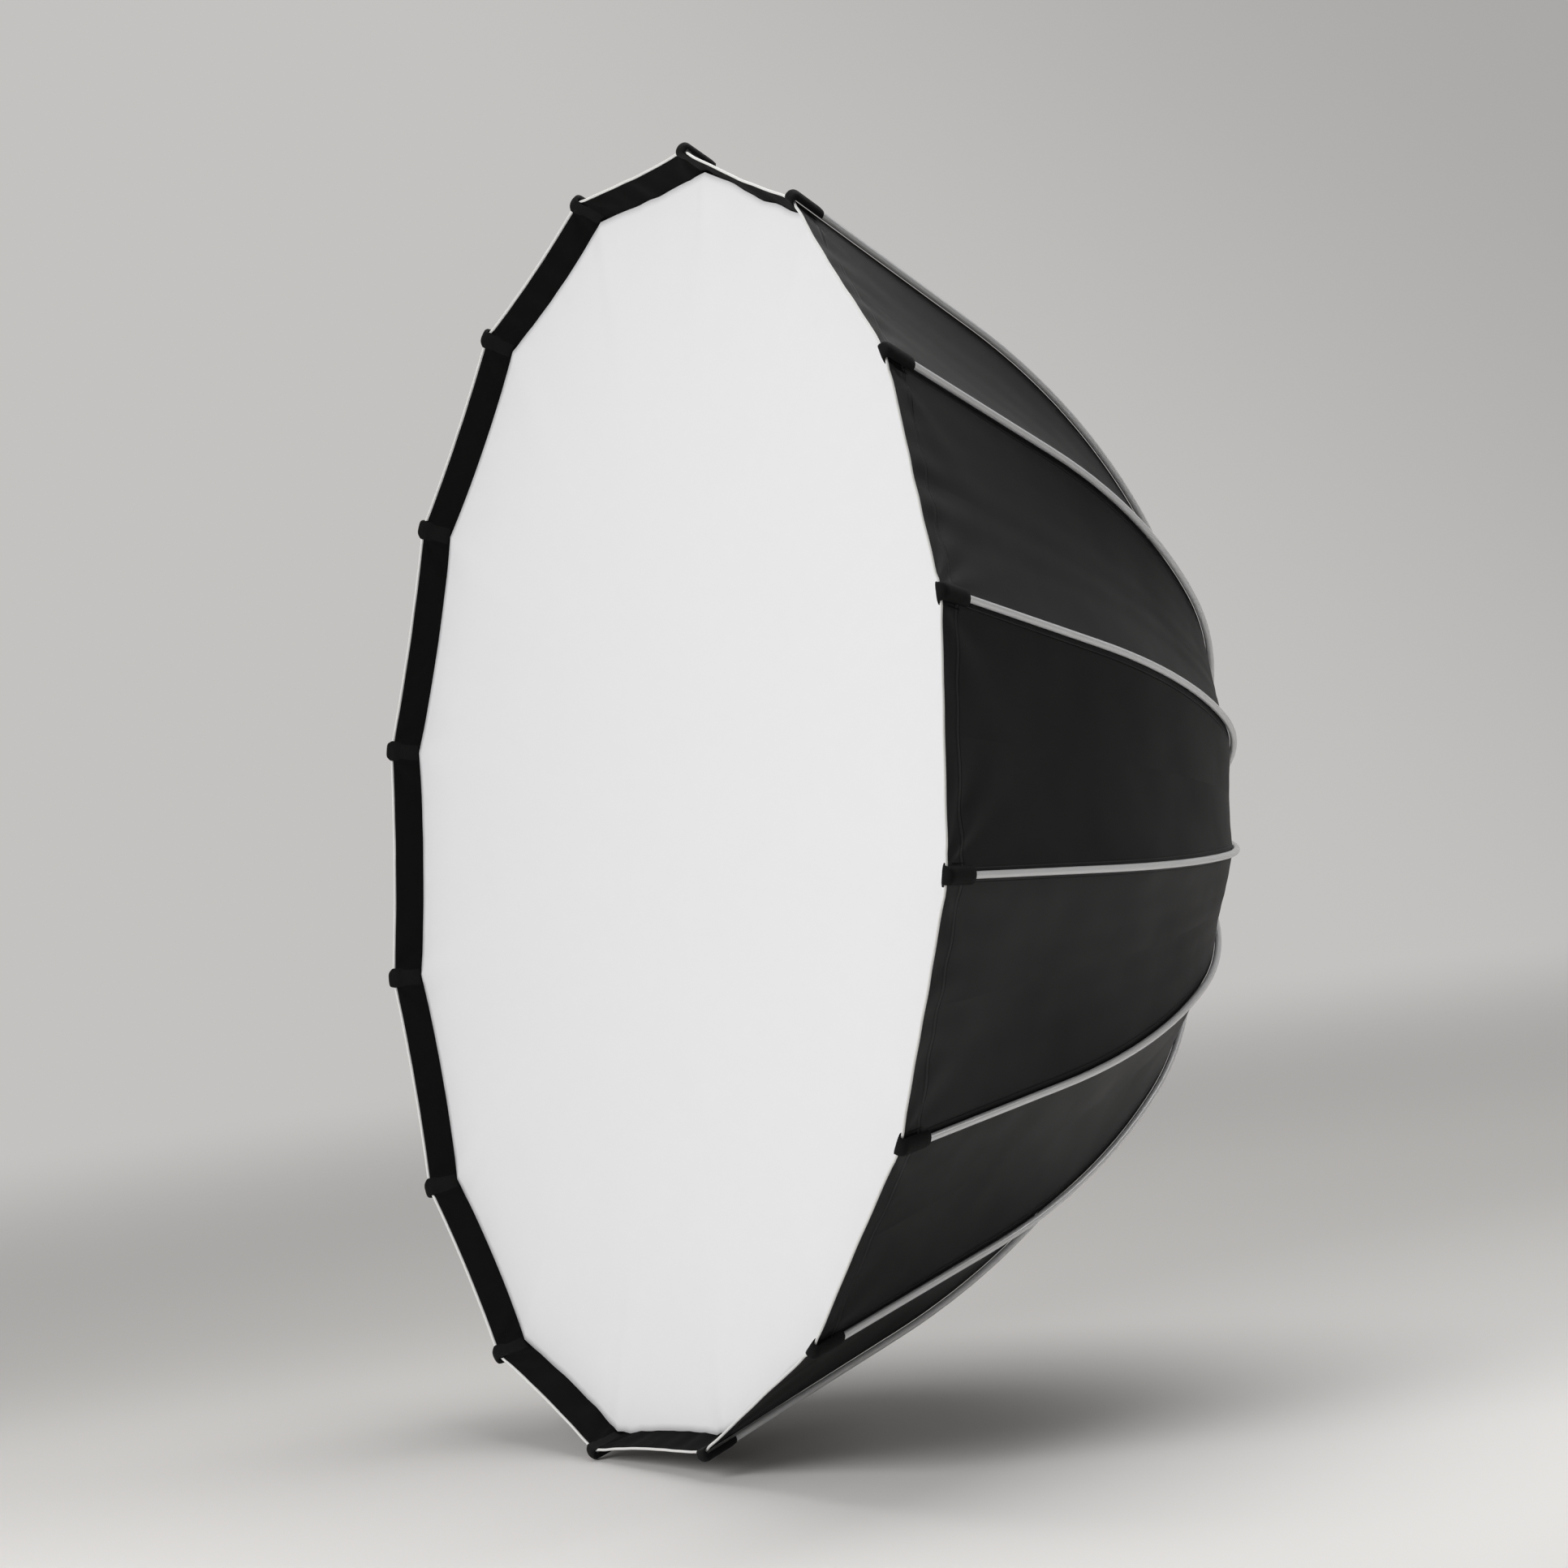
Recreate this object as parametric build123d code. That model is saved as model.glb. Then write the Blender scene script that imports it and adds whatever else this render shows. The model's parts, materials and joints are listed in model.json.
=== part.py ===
from build123d import *
import math
import os

# Deep parabolic umbrella softbox with sixteen ribs, about 1.5 m across the rib tips.
# Units are millimetres. Y is the optical axis: the light fixture joins from +Y and the
# open rim faces -Y. Z is up. The origin is the centre of the speed ring's mating face.

# Ribs and the curve they hold when open
RIB_COUNT = 16
RIB_PITCH = 360.0 / RIB_COUNT
RIB_PHASE = RIB_PITCH / 2
TIP_RADIUS = 750.0
TIP_SLOPE = 62.7
TIP_STRAIGHT = 286.0
BEND_RADIUS = 1045.0
KNEE_SLOPE = 43.0
KNEE_RADIUS = 522.0
HUB_SLOPE = 12.0
ROD_RADIUS = 4.0

# Hinges of the rib feet on the hub
HINGE_RADIUS = 95.0
HINGE_Y = -15.0
EYE_RADIUS = 6.5
EYE_WIDTH = 12.0
EAR_GAP = 12.4
EAR_THICKNESS = 4.0
PIN_RADIUS = 2.0
PIN_RUNNING_CLEARANCE = 0.05
PIN_SEAT_CLEARANCE = 0.02
PIN_LENGTH = 21.0

# Rib foot and its rod socket
SOCKET_LENGTH = 54.0
SOCKET_START = 14.0
SOCKET_CLEARANCE = 0.02
NECK_DEPTH = 11.05
COLLAR_LENGTH = 5.0
COLLAR_RADIUS = 5.6
CATCH_FLAT = 0.7

# Hub ring
HUB_BORE_RADIUS = 74.0
HUB_OUTER_RADIUS = 86.0
HUB_REAR_Y = -3.8
HUB_FRONT_Y = -20.4
EAR_ROOT_DEPTH = 4.0
EAR_REAR_STEP = 1.0
EAR_FRONT_STEP = 3.0

# Bayonet plate that carries the light mount
PLATE_OUTER_RADIUS = 84.0
PLATE_THICKNESS = 3.0
SPIGOT_BORE_RADIUS = 64.0
SPIGOT_OUTER_RADIUS = 69.0
SPIGOT_LENGTH = 8.0
LUG_COUNT = 3
LUG_RADIUS = 72.0
LUG_THICKNESS = 3.0
LUG_ANGLE = 36.0
LUG_ROOT = 1.0
FIRST_LUG_ANGLE = 90.0
PLATE_SCREW_COUNT = 4
PLATE_SCREW_CIRCLE = 79.0
SCREW_RADIUS = 1.5
SCREW_HEAD_RADIUS = 2.8
SCREW_HEAD_HEIGHT = 1.8
SCREW_CLEARANCE = 0.15
SCREW_HOLE_RADIUS = SCREW_RADIUS + SCREW_CLEARANCE
PLATE_SCREW_LENGTH = 11.0

# Leaf catches between the plate and the hub ring
LEAF_THICKNESS = 0.6
LEAF_WIDTH = 8.0
LEAF_ROOT_RADIUS = 77.5
LEAF_BEND_RADIUS = 87.0
LEAF_NOSE_RADIUS = 92.0
LEAF_END_RADIUS = 98.0
LEAF_GAP = 0.3

# Fabric clamp ring on the front of the hub
CLAMP_INNER_RADIUS = 75.0
CLAMP_OUTER_RADIUS = 85.0
CLAMP_THICKNESS = 3.0
CLAMP_SCREW_COUNT = 8
CLAMP_SCREW_CIRCLE = 80.0
CLAMP_SCREW_LENGTH = 12.0
CLAMP_SCREW_PHASE = RIB_PITCH
FABRIC_GAP = 0.3

# Canopy cloth, its rim piping and the band inside its rim
CANOPY_OFFSET = 7.2
CANOPY_THICKNESS = 0.8
CANOPY_HUB_RADIUS = 88.5
CANOPY_COLLAR_INNER = 76.5
CANOPY_COLLAR_OUTER = 89.0
PIPING_RADIUS = 2.2
PIPING_SIDES = 12
PIPING_GAP = 0.3
LIP_THICKNESS = 1.0
LIP_GAP = 0.2
LIP_DEPTH = 36.0
LIP_START = 3.0

# Webbing pockets over the rib tips
POCKET_WIDTH = 25.0
WEBBING = 1.5
POCKET_OUTER_LENGTH = 38.0
POCKET_BEYOND_TIP = 8.0
POCKET_ROD_GAP = 0.2
POCKET_INNER_OFFSET = 12.4
POCKET_INNER_LENGTH = 39.0
POCKET_CORNER = 3.0

# Front diffuser, held inside the rim
DIFFUSER_THICKNESS = 0.8
DIFFUSER_STRAP_GAP = 0.6

# Bodies that only cut: their length, and how far a short one passes the face it opens
OVERSIZE = 400.0
OVERRUN = 1.0


def arc_end(point, radius, slope, next_slope):
    """Where an arc of the rib ends, going from its tip side towards the hub."""
    here = math.radians(slope)
    there = math.radians(next_slope)
    r = point[0] - radius * (math.sin(here) - math.sin(there))
    y = point[1] + radius * (math.cos(there) - math.cos(here))
    return (r, y)


def rib_curve():
    """The corners of the rib's centreline in its own plane, as (radius, y) points."""
    tip = (TIP_RADIUS, 0.0)
    angle = math.radians(TIP_SLOPE)
    bend = (tip[0] - TIP_STRAIGHT * math.cos(angle), TIP_STRAIGHT * math.sin(angle))
    knee = arc_end(bend, BEND_RADIUS, TIP_SLOPE, KNEE_SLOPE)
    root = arc_end(knee, KNEE_RADIUS, KNEE_SLOPE, HUB_SLOPE)
    root_y = HINGE_Y - (root[0] - HINGE_RADIUS) * math.tan(math.radians(HUB_SLOPE))
    drop = root_y - root[1]
    return {
        "hinge": (HINGE_RADIUS, HINGE_Y),
        "root": (root[0], root_y),
        "knee": (knee[0], knee[1] + drop),
        "bend": (bend[0], bend[1] + drop),
        "tip": (TIP_RADIUS, drop),
    }


CURVE = rib_curve()
RIM_Y = CURVE["tip"][1]


def shifted(point, slope, along, outward):
    """A point moved along the rib towards its tip, and outward across it."""
    angle = math.radians(slope)
    r = point[0] + along * math.cos(angle) + outward * math.sin(angle)
    y = point[1] - along * math.sin(angle) + outward * math.cos(angle)
    return (r, y)


def arc_edge(name, radius, slope, next_slope, outward):
    """One arc of the rib, moved outward, from its hub end to its tip end."""
    start = CURVE[name]
    middle_slope = (slope + next_slope) / 2
    middle = arc_end(start, radius, slope, middle_slope)
    end = arc_end(start, radius, slope, next_slope)
    return ThreePointArc(
        shifted(end, next_slope, 0, outward),
        shifted(middle, middle_slope, 0, outward),
        shifted(start, slope, 0, outward),
    )


def curve_edges(outward, start_radius):
    """Lines and arcs that run beside the rib, from a radius near the hub to the rim."""
    root = shifted(CURVE["root"], HUB_SLOPE, 0, outward)
    bend = shifted(CURVE["bend"], TIP_SLOPE, 0, outward)
    tip = shifted(CURVE["tip"], TIP_SLOPE, 0, outward)
    run = (root[0] - start_radius) / math.cos(math.radians(HUB_SLOPE))
    start = shifted(root, HUB_SLOPE, -run, 0)
    return [
        Line(start, root),
        arc_edge("knee", KNEE_RADIUS, KNEE_SLOPE, HUB_SLOPE, outward),
        arc_edge("bend", BEND_RADIUS, TIP_SLOPE, KNEE_SLOPE, outward),
        Line(bend, tip),
    ]


def around(part, angle):
    """Turn a piece built in the plane of +X about the optical axis, towards +Z."""
    return Rot(0, -angle, 0) * part


def rib_angle(index):
    return RIB_PHASE + RIB_PITCH * index


def rib_plane(slope, origin):
    """Sketch plane in the rib's own plane: x runs along the rib outwards, y points outward."""
    angle = math.radians(slope)
    return Plane(
        origin=(origin[0], origin[1], 0),
        x_dir=(math.cos(angle), -math.sin(angle), 0),
        z_dir=(0, 0, 1),
    )


def axial_cylinder(radius, y_low, y_high, x=0.0, z=0.0):
    """A cylinder along the optical axis between two y values."""
    middle = (y_low + y_high) / 2
    return Pos(x, middle, z) * Rot(90, 0, 0) * Cylinder(radius, y_high - y_low)


def axial_ring(inner, outer, y_low, y_high):
    body = axial_cylinder(outer, y_low, y_high)
    return body - axial_cylinder(inner, y_low - OVERRUN, y_high + OVERRUN)


def tangent_cylinder(radius, length, r, y):
    """A cylinder along the tangent (Z in the plane of +X) at one point of the rib plane."""
    return Pos(r, y, 0) * Cylinder(radius, length)


def circle_positions(count, radius, phase):
    """Points spaced evenly on a circle about the optical axis, as (x, z)."""
    points = []
    for index in range(count):
        angle = math.radians(phase + 360.0 * index / count)
        points.append((radius * math.cos(angle), radius * math.sin(angle)))
    return points


def hub_ear(side):
    """One cheek of a hinge, from inside the ring wall out to the pin."""
    offset = side * (EAR_GAP + EAR_THICKNESS) / 2
    eye = tangent_cylinder(EYE_RADIUS, EAR_THICKNESS, HINGE_RADIUS, HINGE_Y)
    root = (HUB_OUTER_RADIUS - EAR_ROOT_DEPTH, HUB_REAR_Y - EAR_REAR_STEP)
    root_front = (HUB_OUTER_RADIUS - EAR_ROOT_DEPTH, HUB_FRONT_Y + EAR_FRONT_STEP)
    back = shifted(CURVE["hinge"], HUB_SLOPE, 0, EYE_RADIUS)
    front = shifted(CURVE["hinge"], HUB_SLOPE, 0, -EYE_RADIUS)
    web = make_face(Polyline(root, back, front, root_front, close=True))
    cheek = eye + extrude(web, EAR_THICKNESS / 2, both=True)
    bore = tangent_cylinder(PIN_RADIUS + PIN_SEAT_CLEARANCE, OVERSIZE, HINGE_RADIUS, HINGE_Y)
    return Pos(0, 0, offset) * (cheek - bore)


def hub_ring():
    ring = axial_ring(HUB_BORE_RADIUS, HUB_OUTER_RADIUS, HUB_FRONT_Y, HUB_REAR_Y)
    for index in range(RIB_COUNT):
        for side in (-1, 1):
            ring += around(hub_ear(side), rib_angle(index))
    for x, z in circle_positions(PLATE_SCREW_COUNT, PLATE_SCREW_CIRCLE, 0):
        depth = PLATE_SCREW_LENGTH + OVERRUN
        ring -= axial_cylinder(SCREW_HOLE_RADIUS, -depth, OVERRUN, x, z)
    for x, z in circle_positions(CLAMP_SCREW_COUNT, CLAMP_SCREW_CIRCLE, CLAMP_SCREW_PHASE):
        reach = HUB_FRONT_Y + CLAMP_SCREW_LENGTH - CLAMP_THICKNESS
        ring -= axial_cylinder(SCREW_HOLE_RADIUS, HUB_FRONT_Y - OVERRUN, reach, x, z)
    return ring


def bayonet_lug(angle):
    """One lug: a sector of a thin ring at the end of the spigot."""
    lug = axial_ring(
        SPIGOT_OUTER_RADIUS - LUG_ROOT, LUG_RADIUS, SPIGOT_LENGTH - LUG_THICKNESS, SPIGOT_LENGTH
    )
    half = math.radians(LUG_ANGLE / 2)
    reach = LUG_RADIUS * 2
    sector = Polyline(
        (0, 0),
        (reach * math.cos(half), reach * math.sin(half)),
        (reach * math.cos(half), -reach * math.sin(half)),
        close=True,
    )
    wedge = Rot(90, 0, 0) * extrude(make_face(sector), SPIGOT_LENGTH * 2, both=True)
    return around(lug & wedge, angle)


def bayonet_plate():
    plate = axial_cylinder(PLATE_OUTER_RADIUS, -PLATE_THICKNESS, 0)
    plate += axial_cylinder(SPIGOT_OUTER_RADIUS, -PLATE_THICKNESS, SPIGOT_LENGTH)
    for index in range(LUG_COUNT):
        plate += bayonet_lug(FIRST_LUG_ANGLE + index * 360.0 / LUG_COUNT)
    plate -= axial_cylinder(SPIGOT_BORE_RADIUS, -PLATE_THICKNESS - OVERRUN, SPIGOT_LENGTH + OVERRUN)
    sink = SCREW_HEAD_HEIGHT + SCREW_CLEARANCE
    for x, z in circle_positions(PLATE_SCREW_COUNT, PLATE_SCREW_CIRCLE, 0):
        plate -= axial_cylinder(SCREW_HOLE_RADIUS, -PLATE_THICKNESS - OVERRUN, OVERRUN, x, z)
        plate -= axial_cylinder(SCREW_HEAD_RADIUS + SCREW_CLEARANCE, -sink, OVERRUN, x, z)
    return plate


def plate_screws():
    screws = []
    for x, z in circle_positions(PLATE_SCREW_COUNT, PLATE_SCREW_CIRCLE, 0):
        head = axial_cylinder(SCREW_HEAD_RADIUS, -SCREW_HEAD_HEIGHT, 0, x, z)
        shank = axial_cylinder(SCREW_RADIUS, -PLATE_SCREW_LENGTH, -SCREW_HEAD_HEIGHT / 2, x, z)
        screws.append(head + shank)
    return Compound(children=screws)


def clamp_faces():
    """Front and rear of the clamp ring, which presses the canopy's collar on the hub."""
    rear = HUB_FRONT_Y - FABRIC_GAP - CANOPY_THICKNESS - FABRIC_GAP
    return rear - CLAMP_THICKNESS, rear


def clamp_ring():
    front, rear = clamp_faces()
    ring = axial_ring(CLAMP_INNER_RADIUS, CLAMP_OUTER_RADIUS, front, rear)
    for x, z in circle_positions(CLAMP_SCREW_COUNT, CLAMP_SCREW_CIRCLE, CLAMP_SCREW_PHASE):
        ring -= axial_cylinder(SCREW_HOLE_RADIUS, front - OVERRUN, rear + OVERRUN, x, z)
    return ring


def clamp_screws():
    front, rear = clamp_faces()
    head_rear = front - SCREW_CLEARANCE
    screws = []
    for x, z in circle_positions(CLAMP_SCREW_COUNT, CLAMP_SCREW_CIRCLE, CLAMP_SCREW_PHASE):
        head = axial_cylinder(SCREW_HEAD_RADIUS, head_rear - SCREW_HEAD_HEIGHT, head_rear, x, z)
        tail = front - SCREW_HEAD_HEIGHT + CLAMP_SCREW_LENGTH
        shank = axial_cylinder(SCREW_RADIUS, head_rear - SCREW_HEAD_HEIGHT / 2, tail, x, z)
        screws.append(head + shank)
    return Compound(children=screws)


def hinge_pins():
    pins = []
    for index in range(RIB_COUNT):
        pin = tangent_cylinder(PIN_RADIUS, PIN_LENGTH, HINGE_RADIUS, HINGE_Y)
        pins.append(around(pin, rib_angle(index)))
    return Compound(children=pins)


def leaf_catch():
    """A leaf held under the bayonet plate, with its nose over the rib foot's round eye."""
    root_y = (HUB_REAR_Y - PLATE_THICKNESS) / 2 - LEAF_THICKNESS / 2
    nose_y = HINGE_Y + EYE_RADIUS + LEAF_GAP
    top = [
        (LEAF_ROOT_RADIUS, root_y + LEAF_THICKNESS),
        (LEAF_BEND_RADIUS, root_y + LEAF_THICKNESS),
        (LEAF_NOSE_RADIUS, nose_y + LEAF_THICKNESS),
        (LEAF_END_RADIUS, nose_y + LEAF_THICKNESS),
    ]
    bottom = []
    for r, y in reversed(top):
        bottom.append((r, y - LEAF_THICKNESS))
    outline = make_face(Polyline(*top, *bottom, close=True))
    return extrude(outline, LEAF_WIDTH / 2, both=True)


def leaf_catches():
    leaves = []
    for index in range(RIB_COUNT):
        leaves.append(around(leaf_catch(), rib_angle(index)))
    return Compound(children=leaves)


def rib_foot():
    """Hinge eye, neck and rod socket of one rib, in the plane of +X."""
    frame = rib_plane(HUB_SLOPE, CURVE["hinge"])
    eye = tangent_cylinder(EYE_RADIUS, EYE_WIDTH, HINGE_RADIUS, HINGE_Y)
    neck = frame * Pos(SOCKET_START / 2, 0, 0) * Box(SOCKET_START, NECK_DEPTH, EYE_WIDTH)
    barrel_length = SOCKET_LENGTH - SOCKET_START
    turn = Rot(0, 90, 0)
    barrel_middle = SOCKET_START + barrel_length / 2
    barrel = frame * Pos(barrel_middle, 0, 0) * turn * Cylinder(EYE_RADIUS, barrel_length)
    collar_middle = SOCKET_LENGTH + COLLAR_LENGTH / 2
    collar = frame * Pos(collar_middle, 0, 0) * turn * Cylinder(COLLAR_RADIUS, COLLAR_LENGTH)
    foot = eye + neck + barrel + collar
    foot -= tangent_cylinder(
        PIN_RADIUS + PIN_RUNNING_CLEARANCE, OVERSIZE, HINGE_RADIUS, HINGE_Y
    )
    bore_length = SOCKET_LENGTH + COLLAR_LENGTH - SOCKET_START + OVERRUN
    bore = Cylinder(ROD_RADIUS + SOCKET_CLEARANCE, bore_length)
    foot -= frame * Pos(SOCKET_START + bore_length / 2, 0, 0) * turn * bore
    flat_y = HINGE_Y + EYE_RADIUS - CATCH_FLAT
    flat = Pos(HINGE_RADIUS - EYE_RADIUS, flat_y + EYE_RADIUS, 0)
    foot -= flat * Box(EYE_RADIUS * 2, EYE_RADIUS * 2, OVERSIZE)
    return foot


def rod():
    """One rib rod, from the bottom of its socket to the tip."""
    start = shifted(CURVE["hinge"], HUB_SLOPE, SOCKET_START + SOCKET_CLEARANCE, 0)
    path = Wire(curve_edges(0, start[0]))
    section = Plane(
        origin=(start[0], start[1], 0),
        z_dir=(math.cos(math.radians(HUB_SLOPE)), -math.sin(math.radians(HUB_SLOPE)), 0),
    )
    return sweep(section * Circle(ROD_RADIUS), path=path)


def tip_pocket():
    """A webbing strap folded over the rod tip and the rim, down to the diffuser's edge."""
    frame = rib_plane(TIP_SLOPE, CURVE["tip"])
    outer = ROD_RADIUS + POCKET_ROD_GAP
    inner = -POCKET_INNER_OFFSET
    front = POCKET_BEYOND_TIP
    outside = Polyline(
        (-POCKET_OUTER_LENGTH, outer + WEBBING),
        (front + WEBBING, outer + WEBBING),
        (front + WEBBING, inner - WEBBING),
        (-POCKET_INNER_LENGTH, inner - WEBBING),
        (-POCKET_INNER_LENGTH, inner),
        (front, inner),
        (front, outer),
        (-POCKET_OUTER_LENGTH, outer),
        close=True,
    )
    strap = extrude(make_face(outside), POCKET_WIDTH / 2, both=True)
    corners = []
    for edge in strap.edges().filter_by(Axis.Z):
        center = edge.center()
        if center.X > front + WEBBING / 2:
            corners.append(edge)
    strap = fillet(corners, POCKET_CORNER)
    return frame * strap


def between_ribs(face):
    """Stretch a section in one rib's plane straight across to the next rib's plane."""
    half = math.radians(RIB_PITCH / 2)
    across = (-math.sin(half), 0, math.cos(half))
    panel = extrude(face, OVERSIZE, dir=across)
    full = math.radians(RIB_PITCH)
    stop = Plane(origin=(0, 0, 0), z_dir=(-math.sin(full), 0, math.cos(full)))
    return split(panel, bisect_by=stop, keep=Keep.BOTTOM)


def panels_around(face):
    """Sixteen panels from one section, each meeting its neighbours in the rib planes."""
    panel = between_ribs(face)
    panels = []
    for index in range(RIB_COUNT):
        panels.append(around(panel, rib_angle(index)))
    return panels


def all_around(face):
    """The sixteen panels joined into one closed ring."""
    panels = panels_around(face)
    return panels[0].fuse(*panels[1:])


def canopy():
    top = -CANOPY_OFFSET
    under = top - CANOPY_THICKNESS
    outer_edges = curve_edges(top, CANOPY_HUB_RADIUS)
    inner_edges = curve_edges(under, CANOPY_HUB_RADIUS)
    rim = Line(outer_edges[-1] @ 1, inner_edges[-1] @ 1)
    hub = Line(inner_edges[0] @ 0, outer_edges[0] @ 0)
    section = make_face(Wire(outer_edges + [rim] + inner_edges + [hub]))
    rear = HUB_FRONT_Y - FABRIC_GAP
    collar = axial_ring(
        CANOPY_COLLAR_INNER, CANOPY_COLLAR_OUTER, rear - CANOPY_THICKNESS, rear
    )
    for x, z in circle_positions(CLAMP_SCREW_COUNT, CLAMP_SCREW_CIRCLE, CLAMP_SCREW_PHASE):
        collar -= axial_cylinder(
            SCREW_HOLE_RADIUS, rear - CANOPY_THICKNESS - OVERRUN, rear + OVERRUN, x, z
        )
    return all_around(section).fuse(collar)


def rim_piping():
    """A twelve-sided cord along the rim edge, straight from rib to rib."""
    middle = -(CANOPY_OFFSET + CANOPY_THICKNESS / 2)
    reach = PIPING_RADIUS + PIPING_GAP
    center = shifted(CURVE["tip"], TIP_SLOPE, reach, middle)
    section = Pos(center[0], center[1], 0) * RegularPolygon(PIPING_RADIUS, PIPING_SIDES)
    return Compound(children=panels_around(section.face()))


def lip_band():
    """The band inside the rim that the diffuser fastens to."""
    top = -(CANOPY_OFFSET + CANOPY_THICKNESS + LIP_GAP)
    under = top - LIP_THICKNESS
    length = LIP_DEPTH / math.sin(math.radians(TIP_SLOPE))
    corners = []
    for along, outward in ((-LIP_START, top), (-length, top), (-length, under), (-LIP_START, under)):
        corners.append(shifted(CURVE["tip"], TIP_SLOPE, along, outward))
    return all_around(make_face(Polyline(*corners, close=True)))


def front_diffuser():
    """The flat cloth panel that closes the front, a little inside the rim."""
    slope = math.radians(TIP_SLOPE)
    rear = RIM_Y + LIP_DEPTH
    clear = POCKET_INNER_OFFSET + WEBBING + DIFFUSER_STRAP_GAP
    radius = TIP_RADIUS - LIP_DEPTH / math.tan(slope) - clear / math.sin(slope)
    points = []
    for index in range(RIB_COUNT):
        angle = math.radians(rib_angle(index))
        points.append((radius * math.cos(angle), rear, radius * math.sin(angle)))
    outline = make_face(Polyline(*points, close=True))
    return extrude(outline, DIFFUSER_THICKNESS, dir=(0, -1, 0))


def save(shape, name):
    shape.label = name
    export_step(shape, "parts/" + name + ".step")
    print(name, round(shape.volume, 1), flush=True)


def main():
    os.makedirs("parts", exist_ok=True)
    save(hub_ring(), "hub_ring")
    save(bayonet_plate(), "bayonet_plate")
    save(plate_screws(), "plate_screws")
    save(leaf_catches(), "leaf_catches")
    save(hinge_pins(), "hinge_pins")
    save(clamp_ring(), "clamp_ring")
    save(clamp_screws(), "clamp_screws")
    save(canopy(), "canopy")
    save(rim_piping(), "rim_piping")
    save(lip_band(), "lip_band")
    save(front_diffuser(), "front_diffuser")
    foot = rib_foot()
    rib_rod = rod()
    pocket = tip_pocket()
    for index in range(RIB_COUNT):
        number = f"{index + 1:02d}"
        angle = rib_angle(index)
        save(around(foot, angle), "rib_foot_" + number)
        save(around(rib_rod, angle), "rib_rod_" + number)
        save(around(pocket, angle), "tip_pocket_" + number)


main()
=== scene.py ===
import bpy
import json
import math
import random
from mathutils import Matrix, Vector

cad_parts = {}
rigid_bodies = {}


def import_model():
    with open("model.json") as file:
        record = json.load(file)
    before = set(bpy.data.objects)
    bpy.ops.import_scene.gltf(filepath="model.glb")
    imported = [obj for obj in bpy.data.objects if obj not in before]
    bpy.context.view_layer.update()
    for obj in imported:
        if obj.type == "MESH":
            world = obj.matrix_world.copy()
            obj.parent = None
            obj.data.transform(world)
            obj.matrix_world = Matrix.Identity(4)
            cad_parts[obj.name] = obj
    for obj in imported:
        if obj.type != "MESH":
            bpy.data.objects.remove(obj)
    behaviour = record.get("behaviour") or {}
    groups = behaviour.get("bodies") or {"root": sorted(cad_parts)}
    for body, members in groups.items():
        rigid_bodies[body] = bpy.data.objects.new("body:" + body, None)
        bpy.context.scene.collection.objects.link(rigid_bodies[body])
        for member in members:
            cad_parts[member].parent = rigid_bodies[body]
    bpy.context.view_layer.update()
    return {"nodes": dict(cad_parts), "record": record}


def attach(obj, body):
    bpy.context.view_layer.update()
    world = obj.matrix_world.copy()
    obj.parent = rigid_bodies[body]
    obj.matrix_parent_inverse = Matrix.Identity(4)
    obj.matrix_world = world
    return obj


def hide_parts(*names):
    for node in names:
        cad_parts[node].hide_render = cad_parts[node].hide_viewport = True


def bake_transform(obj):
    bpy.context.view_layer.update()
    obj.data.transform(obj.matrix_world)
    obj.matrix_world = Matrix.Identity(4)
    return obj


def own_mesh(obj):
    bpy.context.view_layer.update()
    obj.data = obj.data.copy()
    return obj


bl_info = {
    "name": "Deep umbrella softbox looks",
    "version": (1, 0, 0),
    "blender": (4, 5, 0),
    "location": "View3D > Sidebar > Softbox",
    "description": "Cloth, webbing, finishes and stage for the packed deep umbrella softbox",
    "category": "Object",
}

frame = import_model()

# The ribs' curve, as in the CAD part, in metres
RIBS = 16
PITCH = 2 * math.pi / RIBS
HALF = PITCH / 2
TIP_RADIUS = 0.750
TIP_SLOPE = math.radians(62.7)
TIP_STRAIGHT = 0.286
BEND_RADIUS = 1.045
KNEE_SLOPE = math.radians(43.0)
KNEE_RADIUS = 0.522
HUB_SLOPE = math.radians(12.0)
HINGE_RADIUS = 0.095
HINGE_Y = -0.015
ROD_RADIUS = 0.004
BEND_LENGTH = BEND_RADIUS * (TIP_SLOPE - KNEE_SLOPE)
KNEE_LENGTH = KNEE_RADIUS * (KNEE_SLOPE - HUB_SLOPE)
BEND_R = TIP_RADIUS - TIP_STRAIGHT * math.cos(TIP_SLOPE)
KNEE_R = BEND_R - BEND_RADIUS * (math.sin(TIP_SLOPE) - math.sin(KNEE_SLOPE))
ROOT_R = KNEE_R - KNEE_RADIUS * (math.sin(KNEE_SLOPE) - math.sin(HUB_SLOPE))
ROOT_Y = HINGE_Y - (ROOT_R - HINGE_RADIUS) * math.tan(HUB_SLOPE)
KNEE_Y = ROOT_Y - KNEE_RADIUS * (math.cos(HUB_SLOPE) - math.cos(KNEE_SLOPE))
BEND_Y = KNEE_Y - BEND_RADIUS * (math.cos(KNEE_SLOPE) - math.cos(TIP_SLOPE))
RIM_Y = BEND_Y - TIP_STRAIGHT * math.sin(TIP_SLOPE)
ROOT_RUN = (ROOT_R - HINGE_RADIUS) / math.cos(HUB_SLOPE)
RIB_LENGTH = TIP_STRAIGHT + BEND_LENGTH + KNEE_LENGTH + ROOT_RUN

# Where the cloth starts at the hub, and where it bends off the hub onto the ribs
COLLAR_INNER = 0.0768
COLLAR_OUTER = 0.0892
COLLAR_Y = -0.0208
CLOTH_HUB_RADIUS = 0.0888
CLOTH_OVER_ROD = 0.0005
CLOTH_OVER_FOOT = 0.0074
FOOT_END = 0.150
FOOT_CLEAR_END = 0.210

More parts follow.
